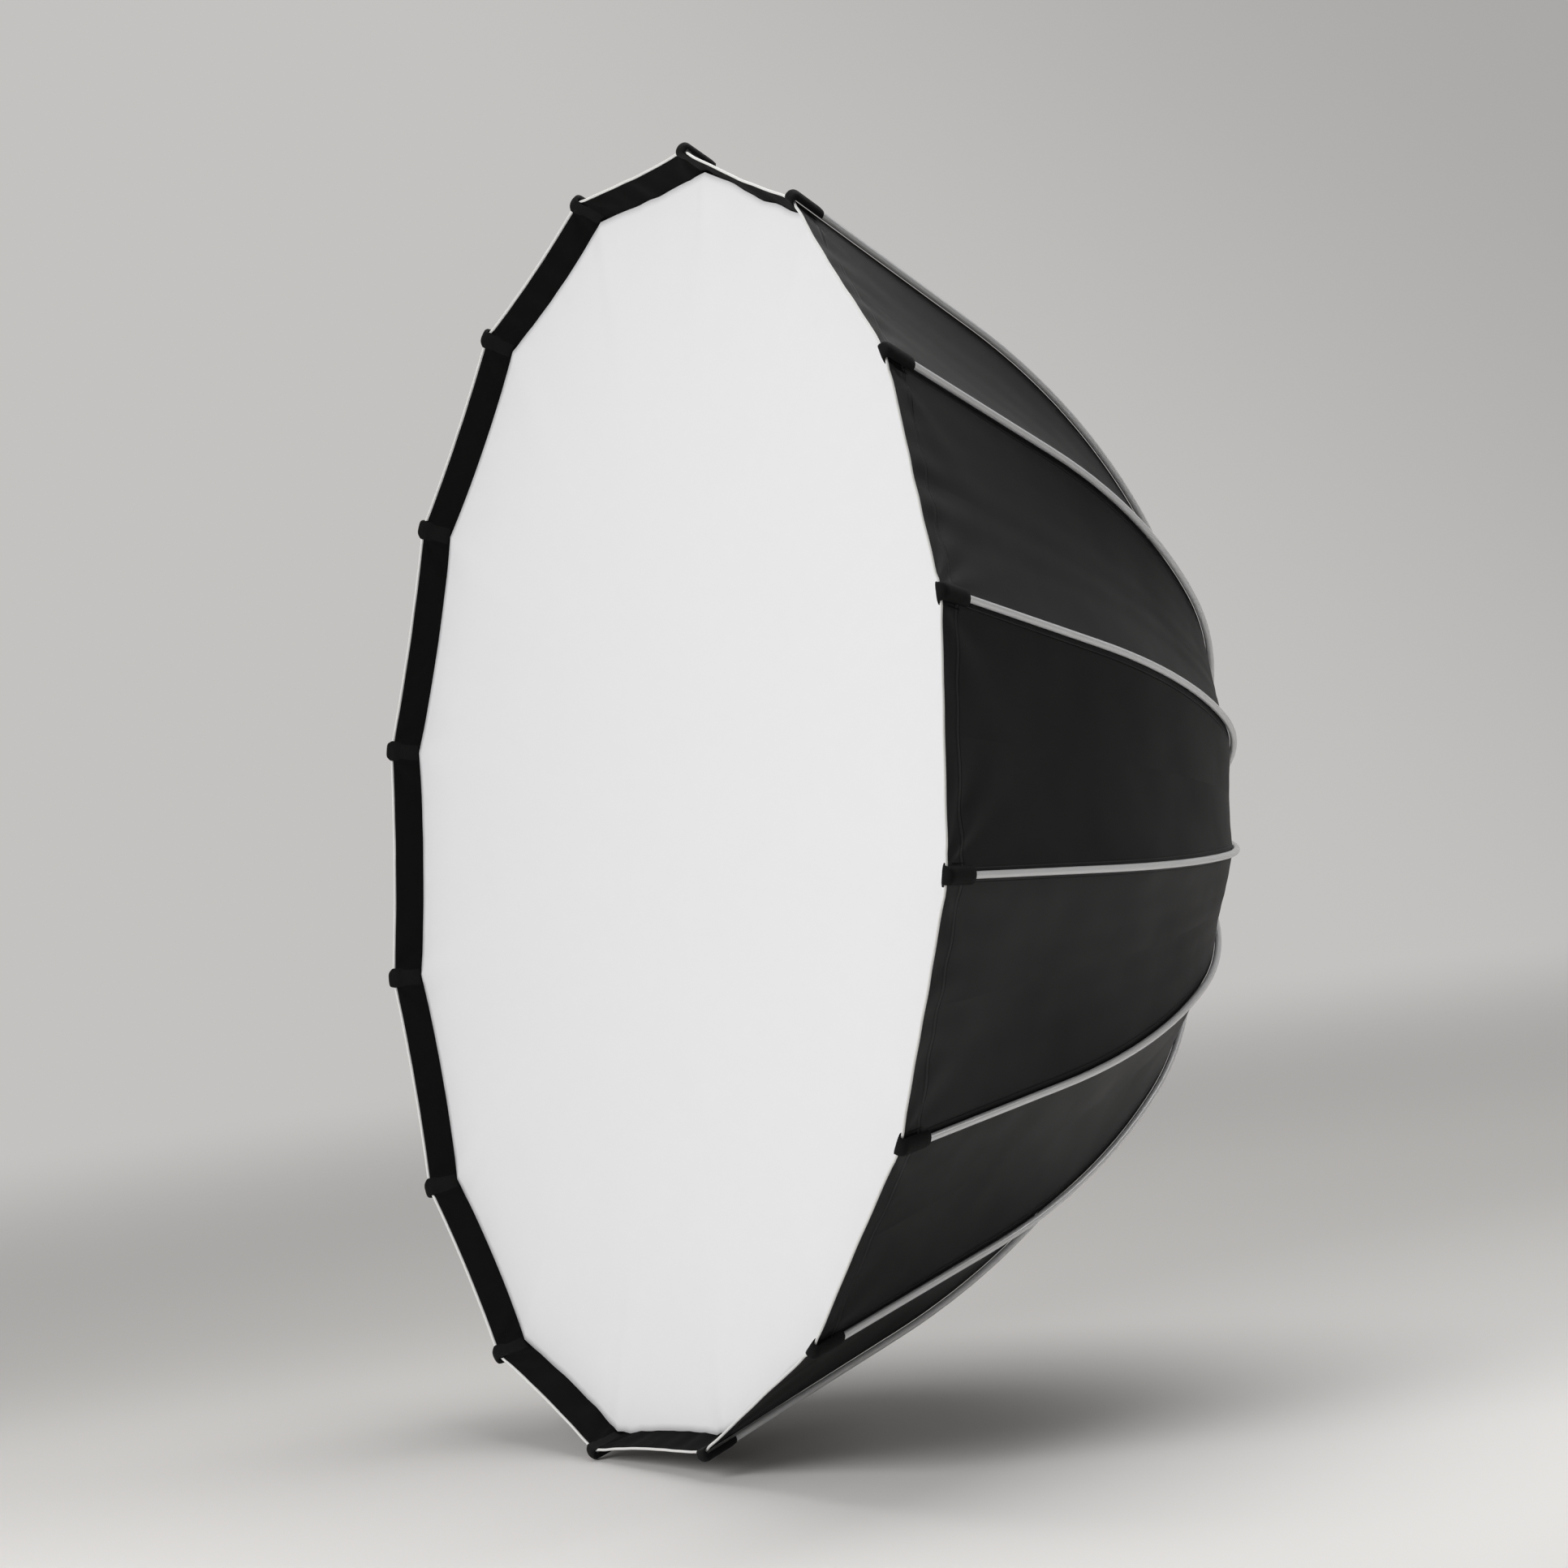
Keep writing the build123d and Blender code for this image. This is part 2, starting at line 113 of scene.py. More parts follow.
# Radii that part each rib's cloth strip into bands
BAND_RADII = (0.125, 0.20, 0.32, 0.43, 0.51, 0.58, 0.64, 0.695, TIP_RADIUS)

# The share of the room between its neighbours that folded_share works out for a folded strip
FOLD_SLACK = 0.93

# The share of the rib's length, from the tip, over which a gore is hollow
HOLLOW_END = 0.78

# How finely the pieces are meshed: counts, or steps in metres
STRIP_COLUMNS = 44
COLUMN_CROWDING = 1.15
ROW_STEP_HUB = 0.008
ROW_STEP_RIM = 0.006
ROW_STEP = 0.016
COLLAR_COLUMNS = 96
PIPING_SIDES = 14
PIPING_ROWS = 40
STRAP_COLUMNS = 24
STRAP_ROWS = 60
DIFFUSER_COLUMNS = 320
DIFFUSER_ROWS = 72

# Gaps and levels between touching pieces
LIP_GAP = 0.0003
PIPING_GAP = 0.0004
STRAP_OVER_ROD = 0.0004
STRAP_OVER_CLOTH = 0.0002
STRAP_OVER_TIP = 0.030  # webbing used to pass round the rod's tip
STRAP_INSIDE = -0.0084  # its level on the lip, from the rod's centreline
STRAP_UNDER_PIPING = -0.0100  # its level where it passes under the piping
DIFFUSER_GAP = 0.0012
DIFFUSER_UNDER_STRAP = 0.0035
DIFFUSER_DOME = 0.004

# How the small folds lie: where the rim's are deepest, and how far a corner's reach
FOLD_CREST = 0.022
PULL_REACH = 0.05
PULL_CLEAR = 0.02
SLACK_DEPTH = 0.0009

# Camera: the angle, height and lens the object is shown from
CAMERA_AZIMUTH = 63.111
CAMERA_ELEVATION = -6.2535
CAMERA_ROLL = -1.0247
CAMERA_PLACE = (5.31966, -2.51350 + RIM_Y, -0.62181)
CAMERA_LENS = 118.717
CAMERA_SENSOR = 36.0
FLOOR_NORMAL = (0.068, -0.1615, 0.984)
BACKDROP_SIDE = (-0.887, 0.450, 0.109)
BACKDROP_RIGHT = (0.326, 0.642, 0.690)  # the backdrop's upper right corner, where it is dimmer
FLOOR_AHEAD = (-0.892, 0.452, 0.0)

# Floor: its size, where its colour turns to the darker far one as painted shade, and where it fades out into
# the backdrop
FLOOR_RADIUS = 9.0
FLOOR_GAP = 0.001
FLOOR_NEAR = -1.4
FLOOR_FAR = 1.6
FADE_START = 1.6
FADE_END = 6.0

# Backdrop: cosines from and to which it changes, and its strength at both
BACKDROP_FADE = (-0.1, 0.96, 0.36, 1.0)
CORNER_FADE = (0.12, 0.29, 1.0, 0.73)


# ---------------------------------------------------------------- sizes and colours


def length(name, description, value):
    return bpy.props.FloatProperty(name=name, description=description, default=value, unit="LENGTH")


def colour(name, description, value):
    return bpy.props.StringProperty(name=name, description=description + ", sRGB hex", default=value)


class SoftboxSizes(bpy.types.PropertyGroup):
    """Sizes of the cloth and trim, in metres"""

    cloth: length("Cloth", "Canopy cloth thickness", 0.0006)
    hollow: length("Hollow", "How far a gore dips between its ribs", 0.015)
    rim_hollow: length("Rim hollow", "The dip at the rim edge", 0.002)
    rim_scallop: length("Rim scallop", "How far the rim edge runs back between ribs", 0.003)
    pucker: length("Pucker", "Height of the small folds along the rim", 0.0016)
    hem: length("Hem", "Hem stitching from the rim edge", 0.028)
    seam: length("Seam", "Seam stitching from the rib line", 0.0075)
    lip: length("Lip", "Length of the black band inside the rim", 0.052)
    lip_cloth: length("Lip cloth", "Thickness of the band inside the rim", 0.0008)
    piping: length("Piping", "Radius of the rim piping", 0.0015)
    webbing: length("Webbing", "Webbing thickness", 0.0014)
    pocket_width: length("Pocket width", "Width of the tip webbing", 0.025)
    sleeve_width: length("Sleeve width", "Width of the webbing where it wraps the rod", 0.020)
    pocket_length: length("Pocket length", "Length of the sleeve over the rod", 0.038)
    pocket_beyond: length("Pocket beyond", "How far the pocket passes the rod tip", 0.008)
    diffuser_corner: length("Diffuser corner", "Diffuser edge from the rim at a rib", 0.034)
    diffuser_middle: length("Diffuser middle", "Diffuser edge from the rim between ribs", 0.036)
    diffuser_cloth: length("Diffuser cloth", "Diffuser thickness", 0.0005)
    diffuser_fold: length("Diffuser fold", "Height of the diffuser's soft folds", 0.003)


class SoftboxColours(bpy.types.PropertyGroup):
    """Colours as sRGB hex"""

    canopy: colour("Canopy", "Black canopy cloth", "101011")
    lining: colour("Lining", "Silver lining inside the canopy", "b9babc")
    lip: colour("Lip", "Black band inside the rim", "0c0c0c")
    webbing: colour("Webbing", "Black webbing", "0e0e0e")
    piping: colour("Piping", "Light rim piping", "e8e8e6")
    diffuser: colour("Diffuser", "White diffuser cloth", "f1f1f3")
    rod: colour("Rod", "Silver-grey rods", "dadbdc")
    plastic: colour("Plastic", "Black moulded plastic", "1a1a1b")
    casting: colour("Casting", "Black powder-coated hub", "18181a")
    plate: colour("Plate", "Bayonet plate", "c2c4c7")
    steel: colour("Steel", "Pins, screws and springs", "9b9da0")
    floor: colour("Floor", "Studio floor near the front", "f2f0ee")
    # Painted shade: the far floor colour is darker to stand in for shade towards the backdrop
    floor_far_painted_shade: colour("Far floor", "Studio floor towards the backdrop", "bebcba")
    backdrop: colour("Backdrop", "Studio backdrop", "c4c2c0")


def sizes():
    return bpy.context.scene.softbox_sizes


def linear(text, alpha=1.0):
    """An sRGB hex colour as linear light."""
    values = []
    for start in (0, 2, 4):
        part = int(text[start:start + 2], 16) / 255
        values.append(part / 12.92 if part <= 0.04045 else ((part + 0.055) / 1.055) ** 2.4)
    return (*values, alpha)


# ---------------------------------------------------------------- materials


def add(tree, kind, inputs=None, **settings):
    """Adds a shader node: settings are its properties, inputs are values or sockets to link."""
    node = tree.nodes.new(kind)
    for key, value in settings.items():
        setattr(node, key, value)
    for key, value in (inputs or {}).items():
        if isinstance(value, bpy.types.NodeSocket):
            tree.links.new(value, node.inputs[key])
        else:
            node.inputs[key].default_value = value
    return node


def new_material(name, hex_colour, roughness, metallic=0.0, specular=0.5):
    """A material with one Principled shader; returns it, its tree and the shader."""
    made = bpy.data.materials.get(name)
    if made:
        return made, made.node_tree, made.node_tree.nodes["Principled BSDF"]
    made = bpy.data.materials.new(name)
    made.use_nodes = True
    shader = made.node_tree.nodes["Principled BSDF"]
    shader.inputs["Base Color"].default_value = linear(hex_colour)
    shader.inputs["Roughness"].default_value = roughness
    shader.inputs["Metallic"].default_value = metallic
    shader.inputs["Specular IOR Level"].default_value = specular
    return made, made.node_tree, shader


def cloth_uv(tree):
    """The piece's own UV in metres: u across from the rib line, v along from the rim."""
    return add(tree, "ShaderNodeUVMap", uv_map="cloth").outputs["UV"]


def ridge(tree, value, centre, half_width, height):
    """A smooth ridge or groove where a coordinate is near a value."""
    away = add(tree, "ShaderNodeMath", {0: value, 1: centre}, operation="SUBTRACT")
    size = add(tree, "ShaderNodeMath", {0: away.outputs[0]}, operation="ABSOLUTE")
    fall = add(
        tree,
        "ShaderNodeMapRange",
        {"Value": size.outputs[0], "From Min": 0.0, "From Max": half_width, "To Min": height, "To Max": 0.0},
        interpolation_type="SMOOTHSTEP",
    )
    return fall.outputs["Result"]


def noise(tree, vector, scale, detail=2.0, roughness=0.5):
    inputs = {"Vector": vector, "Scale": scale, "Detail": detail, "Roughness": roughness}
    return add(tree, "ShaderNodeTexNoise", inputs).outputs["Fac"]


def total(tree, *sockets):
    """Adds heights together."""
    result = sockets[0]
    for socket in sockets[1:]:
        result = add(tree, "ShaderNodeMath", {0: result, 1: socket}, operation="ADD").outputs[0]
    return result


def scaled(tree, socket, factor):
    return add(tree, "ShaderNodeMath", {0: socket, 1: factor}, operation="MULTIPLY").outputs[0]


def spread(tree, socket, low, high):
    """Maps noise around its middle onto a range."""
    inputs = {"Value": socket, "From Min": 0.3, "From Max": 0.7, "To Min": low, "To Max": high}
    return add(tree, "ShaderNodeMapRange", inputs).outputs["Result"]


def bump(tree, shader, height, strength=1.0, distance=1.0):
    made = add(tree, "ShaderNodeBump", {"Height": height, "Strength": strength, "Distance": distance})
    tree.links.new(made.outputs["Normal"], shader.inputs["Normal"])


def canopy_material(colours):
    """Coated polyester satin, cut and sewn: a dull soft sheen, stitched hem and seams, fine grain."""
    made, tree, shader = new_material("canopy_satin_cloth", colours.canopy, 0.5, specular=0.16)
    if shader.inputs["Normal"].is_linked:
        return made
    place = cloth_uv(tree)
    axes = add(tree, "ShaderNodeSeparateXYZ", {"Vector": place})
    across, along = axes.outputs["X"], axes.outputs["Y"]
    side = add(tree, "ShaderNodeMath", {0: across}, operation="ABSOLUTE").outputs[0]
    size = sizes()
    hem = ridge(tree, along, size.hem, 0.0016, -0.0006)
    fold = ridge(tree, along, size.hem - 0.004, 0.0030, 0.0004)
    seam = ridge(tree, side, size.seam, 0.0014, -0.0005)
    # grain of 0.7 mm, coarser than the threads so that it shows, and slack of about 0.1 m
    grain = scaled(tree, noise(tree, place, 1400, 1.0), 0.00012)
    slack = scaled(tree, noise(tree, place, 9, 1.5, 0.4), 0.0022)
    bump(tree, shader, total(tree, hem, fold, seam, grain, slack), 1.0)
    patches = noise(tree, place, 5, 3.0)
    tree.links.new(spread(tree, patches, 0.44, 0.56), shader.inputs["Roughness"])
    return made


def plain_cloth(name, hex_colour, roughness, grain_height=0.00015, specular=0.15, metallic=0.0):
    """Plain woven cloth: a fine grain of about 0.8 mm and faint slack."""
    made, tree, shader = new_material(name, hex_colour, roughness, metallic, specular)
    if shader.inputs["Normal"].is_linked:
        return made
    place = cloth_uv(tree)
    grain = scaled(tree, noise(tree, place, 1200, 1.0), grain_height)
    slack = scaled(tree, noise(tree, place, 12, 1.0), 0.0012)
    bump(tree, shader, total(tree, grain, slack), 1.0)
    return made


def webbing_material(colours):
    """Woven polypropylene webbing: matt, with ribs across it at 1.6 mm and cords along it at 1 mm."""
    made, tree, shader = new_material("woven_webbing", colours.webbing, 0.7, specular=0.12)
    if shader.inputs["Normal"].is_linked:
        return made
    place = cloth_uv(tree)
    axes = add(tree, "ShaderNodeSeparateXYZ", {"Vector": place})
    rows = add(tree, "ShaderNodeMath", {0: axes.outputs["Y"], 1: 0.0008}, operation="PINGPONG")
    cords = add(tree, "ShaderNodeMath", {0: axes.outputs["X"], 1: 0.0005}, operation="PINGPONG")
    weave = total(tree, scaled(tree, rows.outputs[0], 0.25), scaled(tree, cords.outputs[0], 0.2))
    fuzz = scaled(tree, noise(tree, place, 900, 2.0), 0.0002)
    bump(tree, shader, total(tree, weave, fuzz), 1.0)
    return made


def diffuser_material(colours):
    """White woven diffusion cloth: matt and even, with very faint slack folds."""
    made, tree, shader = new_material("white_diffusion_cloth", colours.diffuser, 0.85, specular=0.2)
    if shader.inputs["Normal"].is_linked:
        return made
    place = cloth_uv(tree)
    slack = scaled(tree, noise(tree, place, 7, 2.0, 0.45), 0.0030)
    grain = scaled(tree, noise(tree, place, 1500, 1.0), 0.00006)
    bump(tree, shader, total(tree, slack, grain), 1.0)
    return made


def solid_finish(name, hex_colour, roughness, metallic, grain_scale, grain_height):
    """Hard surface with a fine even grain in its own space."""
    made, tree, shader = new_material(name, hex_colour, roughness, metallic)
    if shader.inputs["Normal"].is_linked:
        return made
    place = add(tree, "ShaderNodeTexCoord").outputs["Object"]
    grain = noise(tree, place, grain_scale, 2.0)
    bump(tree, shader, scaled(tree, grain, grain_height), 1.0)
    wear = noise(tree, place, 40, 3.0)
    tree.links.new(spread(tree, wear, roughness - 0.05, roughness + 0.07), shader.inputs["Roughness"])
    return made


# ---------------------------------------------------------------- shape of the cloth


def along_arc(point, radius, slope, run):
    """Radius, y and slope after a run along an arc that flattens towards the hub."""
    there = slope - run / radius
    r = point[0] - radius * (math.sin(slope) - math.sin(there))
    y = point[1] + radius * (math.cos(there) - math.cos(slope))
    return r, y, there


def rib_line(s):
    """Radius, y and slope of the rib's centreline at a distance along it from the tip."""
    if s <= TIP_STRAIGHT:
        r = TIP_RADIUS - s * math.cos(TIP_SLOPE)
        return r, RIM_Y + s * math.sin(TIP_SLOPE), TIP_SLOPE
    s -= TIP_STRAIGHT
    if s <= BEND_LENGTH:
        return along_arc((BEND_R, BEND_Y), BEND_RADIUS, TIP_SLOPE, s)
    s -= BEND_LENGTH
    if s <= KNEE_LENGTH:
        return along_arc((KNEE_R, KNEE_Y), KNEE_RADIUS, KNEE_SLOPE, s)
    s -= KNEE_LENGTH
    return ROOT_R - s * math.cos(HUB_SLOPE), ROOT_Y + s * math.sin(HUB_SLOPE), HUB_SLOPE


def folded_share(radius):
    """The share of its width that a strip keeps at a radius when the ribs are folded."""
    fold = fold_limit()
    r, y, _ = rib_line(along_at_radius(radius))
    folded = HINGE_RADIUS + (r - HINGE_RADIUS) * math.cos(fold) - (HINGE_Y - y) * math.sin(fold)
    return FOLD_SLACK * folded / r


def fold_limit():
    """The ribs' fold angle at its upper limit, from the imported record."""
    joints = frame["record"]["behaviour"]["joints"]
    fold = next(j for j in joints if j["name"] == "rib_01_fold")
    return math.radians(fold["range_deg"][1])


def along_at_radius(radius):
    """Distance from the tip at which the rib's centreline has this radius."""
    low, high = 0.0, RIB_LENGTH + 0.05
    for _ in range(50):
        middle = (low + high) / 2
        if rib_line(middle)[0] > radius:
            low = middle
        else:
            high = middle
    return (low + high) / 2


def smooth(value, low, high):
    t = min(1.0, max(0.0, (value - low) / (high - low)))
    return t * t * (3 - 2 * t)


def seat(s):
    """How far the cloth lies inside the rod's centreline: against the rod, lower at the foot."""
    near_foot = 1 - smooth(rib_line(s)[0], FOOT_END, FOOT_CLEAR_END)
    by_rod = ROD_RADIUS + CLOTH_OVER_ROD
    return by_rod + (CLOTH_OVER_FOOT - by_rod) * near_foot


class Gore:
    """The folds that are one gore's own, from a fixed seed."""

    def __init__(self, index):
        rng = random.Random(4100 + index)

        def draw(count, *ranges):
            return [tuple(rng.uniform(*each) for each in ranges) for _ in range(count)]

        self.puckers = draw(4, (2.5, 9.0), (0, 6.28), (0.4, 1.0))
        self.slack = draw(3, (3.0, 9.0), (0, 6.28), (-1, 1))
        self.pulls = draw(2, (0.5, 1.0), (7, 12), (0, 6.28))

    def folds(self, t, s, pucker):
        """Depth of the folds at t across the gore (-1 to 1) and s from the rim."""
        edge = 1 - t * t
        depth = 0.0
        for rate, phase, share in self.puckers:
            depth += share * math.sin(rate * t * 2.2 + phase)
        crest = (s / FOLD_CREST) * math.exp(1 - s / FOLD_CREST)
        depth *= pucker * 0.5 * edge * (0.15 + 0.85 * crest)
        for rate, phase, lean in self.slack:
            depth += SLACK_DEPTH * math.sin(rate * s + lean * t * 2 + phase) * edge
        for corner, (share, rate, phase) in zip((-1, 1), self.pulls):
            across = abs(t - corner) * TIP_RADIUS * HALF
            away = math.hypot(across, s) + 1e-6
            turn = math.atan2(across, s + 0.01)
            fan = math.sin(rate * turn + phase) * math.sin(2 * min(turn, math.pi / 2))
            reach = (away / PULL_REACH) * math.exp(1 - away / PULL_REACH)
            depth += share * pucker * 0.9 * fan * min(reach, 1.0) * min(1.0, across / PULL_CLEAR)
        return depth


GORES = [Gore(index) for index in range(RIBS)]


def cloth_point(gore, psi, s, under=0.0):
    """A point of the canopy: psi is the angle from the gore's middle, s runs from the rim."""
    size = sizes()
    t = psi / HALF
    bow = 1 - t * t
    s = s + size.rim_scallop * bow * math.exp(-max(s, 0.0) / 0.10)
    r, y, slope = rib_line(s)
    share = min(1.0, max(0.0, s / RIB_LENGTH))
    hollow = size.rim_hollow * math.exp(-max(s, 0) / 0.2)
    hollow += size.hollow * math.sin(math.pi * min(1.0, share / HOLLOW_END)) ** 1.3
    depth = seat(s) + under + hollow * bow + GORES[gore % RIBS].folds(t, max(s, 0.0), size.pucker)
    r -= depth * math.sin(slope)
    y -= depth * math.cos(slope)
    radius = r * math.cos(HALF) / math.cos(psi)
    angle = HALF + PITCH * gore + HALF + psi
    return Vector((radius * math.cos(angle), y, radius * math.sin(angle)))


def cloth_normal(gore, psi, s, under=0.0):
    """Outward normal of the canopy at a point, by small steps either way."""
    step = 0.0006
    a = cloth_point(gore, psi + step, s, under) - cloth_point(gore, psi - step, s, under)
    b = cloth_point(gore, psi, s + step, under) - cloth_point(gore, psi, s - step, under)
    normal = b.cross(a).normalized()
    angle = HALF + PITCH * gore + HALF + psi
    radial = Vector((math.cos(angle), 0.3, math.sin(angle)))
    return normal if normal.dot(radial) > 0 else -normal


def rib_side(rib, u):
    """The gore and the angle from its middle at u (-1 to 1) across a rib's strip."""
    if u >= 0:
        return rib, -HALF + u * HALF
    return rib - 1, HALF + u * HALF


def rib_angle(rib):
    return HALF + PITCH * rib


def rib_place(rib, s, n, lateral):
    """A point beside a rib: s from the tip, n outward from its centreline, lateral across it."""
    r, y, slope = rib_line(s)
    r += n * math.sin(slope)
    y += n * math.cos(slope)
    angle = rib_angle(rib)
    out = Vector((math.cos(angle), 0, math.sin(angle)))
    side = Vector((-math.sin(angle), 0, math.cos(angle)))
    return out * r + side * lateral + Vector((0, y, 0))


# ---------------------------------------------------------------- modelling helpers


def deselect():
    if bpy.context.object and bpy.context.object.mode != "OBJECT":
        bpy.ops.object.mode_set(mode="OBJECT")
    bpy.ops.object.select_all(action="DESELECT")


def make_active(obj):
    deselect()
    obj.select_set(True)
    bpy.context.view_layer.objects.active = obj


def new_grid(name, columns, rows):
    """A flat unit grid, the start of a cloth piece."""
    deselect()
    bpy.ops.mesh.primitive_grid_add(x_subdivisions=columns, y_subdivisions=rows, size=1)
    obj = bpy.context.object
    obj.name = name
    obj.data.name = name
    return obj


def lay(obj, place, measure):
    """Moves each grid point to its place, and gives it a UV in metres."""
    mesh = obj.data
    spots = [(v.co.x + 0.5, v.co.y + 0.5) for v in mesh.vertices]
    for vertex, (a, b) in zip(mesh.vertices, spots):
        vertex.co = place(a, b)
    while mesh.uv_layers:
        mesh.uv_layers.remove(mesh.uv_layers[0])
    layer = mesh.uv_layers.new(name="cloth")
    marks = [measure(a, b) for a, b in spots]
    for loop in mesh.loops:
        layer.data[loop.index].uv = marks[loop.vertex_index]
    return spots


def face_outward(obj, outward):
    """Turns the faces over if the first one looks against the given direction."""
    obj.data.update()
    if obj.data.polygons[0].normal.dot(outward) < 0:
        obj.data.flip_normals()
        obj.data.update()


def thicken(obj, thickness, lining=0):
    """Gives a sheet its thickness inward; the new side takes the next material."""
    make_active(obj)
    solid = obj.modifiers.new("thickness", "SOLIDIFY")
    solid.thickness = thickness
    solid.offset = -1
    solid.material_offset = lining
    bpy.ops.object.modifier_apply(modifier=solid.name)


def finish_mesh(obj, *materials):
    for made in materials:
        obj.data.materials.append(made)
    make_active(obj)
    bpy.ops.object.shade_smooth()


def set_normals(obj, normals):
    """Normals of the outer side, and the same turned round for the inner side."""
    both = normals + [-n for n in normals]
    obj.data.normals_split_custom_set_from_vertices([tuple(n) for n in both])


def squash_with(obj, rib, keep):
    """Rides a piece on its rib, with a mesh of its own."""
    name = f"{rib + 1:02d}"
    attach(obj, "rib_" + name)
    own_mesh(obj)


def flat_area(rib, s_low, s_high, under=0.0):
    """Real area of a rib's strip between two distances from the rim."""
    area = 0.0
    steps_s, steps_u = 24, 16
    for i in range(steps_s):
        s0 = s_low + (s_high - s_low) * i / steps_s
        s1 = s_low + (s_high - s_low) * (i + 1) / steps_s
        for j in range(steps_u):
            u0, u1 = -1 + 2 * j / steps_u, -1 + 2 * (j + 1) / steps_u
            middle = (u0 + u1) / 2
            gore, _ = rib_side(rib, middle)
            p0 = rib_psi(u0, middle)
            p1 = rib_psi(u1, middle)
            a = cloth_point(gore, p0, s0, under)
            b = cloth_point(gore, p1, s0, under)
            c = cloth_point(gore, p0, s1, under)
            area += (b - a).cross(c - a).length
    return area


def rib_psi(u, side):
    """The angle from the gore's middle at u, in the gore on the given side of the rib."""
    return -HALF + u * HALF if side >= 0 else HALF + u * HALF


def warp(a):
    """Across a strip, columns stand closer together near the rib."""
    u = 2 * a - 1
    return math.copysign(abs(u) ** COLUMN_CROWDING, u)


# ---------------------------------------------------------------- pieces


def strip_band(rib, name, s_low, s_high, step, thickness, under, materials):
    """One band of the cloth strip that belongs to a rib, from s_low to s_high."""
    rows = max(2, round((s_high - s_low) / step))
    obj = new_grid(name, STRIP_COLUMNS, rows)

    def spot(a, b):
        gore, psi = rib_side(rib, warp(a))
        return gore, psi, s_low + (s_high - s_low) * b

    def place(a, b):
        return cloth_point(*spot(a, b), under)

    def measure(a, b):
        s = s_low + (s_high - s_low) * b
        width = rib_line(s)[0] * math.tan(HALF)
        return (warp(a) * width, s)

    spots = lay(obj, place, measure)
    normals = []
    for a, b in spots:
        gore, psi, s = spot(a, b)
        normal = cloth_normal(gore, psi, s, under)
        if abs(warp(a)) < 1e-4:
            other = cloth_normal(rib - 1, HALF, s, under)
            normal = (normal + other).normalized()
        normals.append(normal)
    face_outward(obj, normals[0])
    finish_mesh(obj, *materials)
    thicken(obj, thickness, len(materials) - 1)
    set_normals(obj, normals)
    return obj


def declare_strip(rib, s_low, s_high, under=0.0):
    area = flat_area(rib, s_low, s_high, under)
    length = s_high - s_low
    width = max(2 * rib_line(s_low)[0] * math.tan(HALF), area / length) * 1.02


class SOFTBOX_OT_frame_finishes(bpy.types.Operator):
    """Gives the hub, plate, pins, leaves, feet and rods their finishes"""

    bl_idname = "softbox.frame_finishes"
    bl_label = "Frame finishes"

    def execute(self, context):
        colours = context.scene.softbox_colours
        # Powder coat on cast aluminium hides the metal: a dark, slightly rough, even skin
        casting = solid_finish("powder_coated_aluminium", colours.casting, 0.5, 0.0, 1800, 0.00010)
        # Turned and satin-anodised aluminium: a bright metal with a soft, even gloss
        plate = solid_finish("satin_aluminium", colours.plate, 0.34, 1.0, 1200, 0.00003)
        # Zinc-plated steel: a darker, sharper metal gloss
        steel = solid_finish("zinc_plated_steel", colours.steel, 0.32, 1.0, 900, 0.00003)
        # Moulded plastic: black, with a dull gloss and a fine spark-eroded grain
        plastic = solid_finish("moulded_black_plastic", colours.plastic, 0.55, 0.0, 2200, 0.00006)
        # Pultruded and coated fibreglass: light grey and smooth, with a clear gloss line
        rod = solid_finish("silver_grey_fibreglass_rod", colours.rod, 0.16, 0.0, 700, 0.00001)
        coat = rod.node_tree.nodes["Principled BSDF"]
        coat.inputs["Specular IOR Level"].default_value = 0.9
        finishes = {
            "hub_ring": casting,
            "bayonet_plate": plate,
            "plate_screws": steel,
            "clamp_screws": steel,
            "hinge_pins": steel,
            "leaf_catches": steel,
            "clamp_ring": plastic,
        }
        for rib in range(RIBS):
            finishes[f"rib_foot_{rib + 1:02d}"] = plastic
            finishes[f"rib_rod_{rib + 1:02d}"] = rod
        for name, made in finishes.items():
            node = frame["nodes"][name]
            node.data.materials.clear()
            node.data.materials.append(made)
        return {"FINISHED"}


